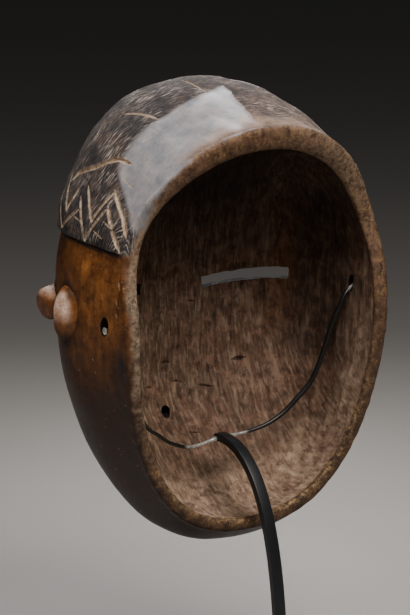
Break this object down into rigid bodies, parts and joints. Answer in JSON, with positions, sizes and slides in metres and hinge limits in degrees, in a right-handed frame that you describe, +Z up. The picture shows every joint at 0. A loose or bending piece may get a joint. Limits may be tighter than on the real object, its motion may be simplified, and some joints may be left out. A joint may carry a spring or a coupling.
{
  "type": "lwalwa mask on a stand",
  "caption": "Carved wooden face mask, hollow behind, with slit eyes, long nose, dark incised forehead, hung on a wire cradle and a bent steel bar with a base plate.",
  "frame": {"origin": "middle of the base plate's underside", "axes": "+Z up, the face looks along -Y, the wearer's left is +X"},
  "size_m": [0.227, 0.2309, 0.4051],
  "materials": {
    "carved_wood": "old hand-carved wood, stained brown, rubbed to a sheen outside, dry and tool-marked inside, forehead blackened",
    "steel_wire": "dark drawn steel wire, rubbed bare in places",
    "black_steel": "satin black paint on flat steel"
  },
  "bodies": {
    "root": {"mask": "carved_wood", "wire_cradle": "steel_wire", "stand_bar": "black_steel", "base_plate": "black_steel"}
  },
  "joints": []
}
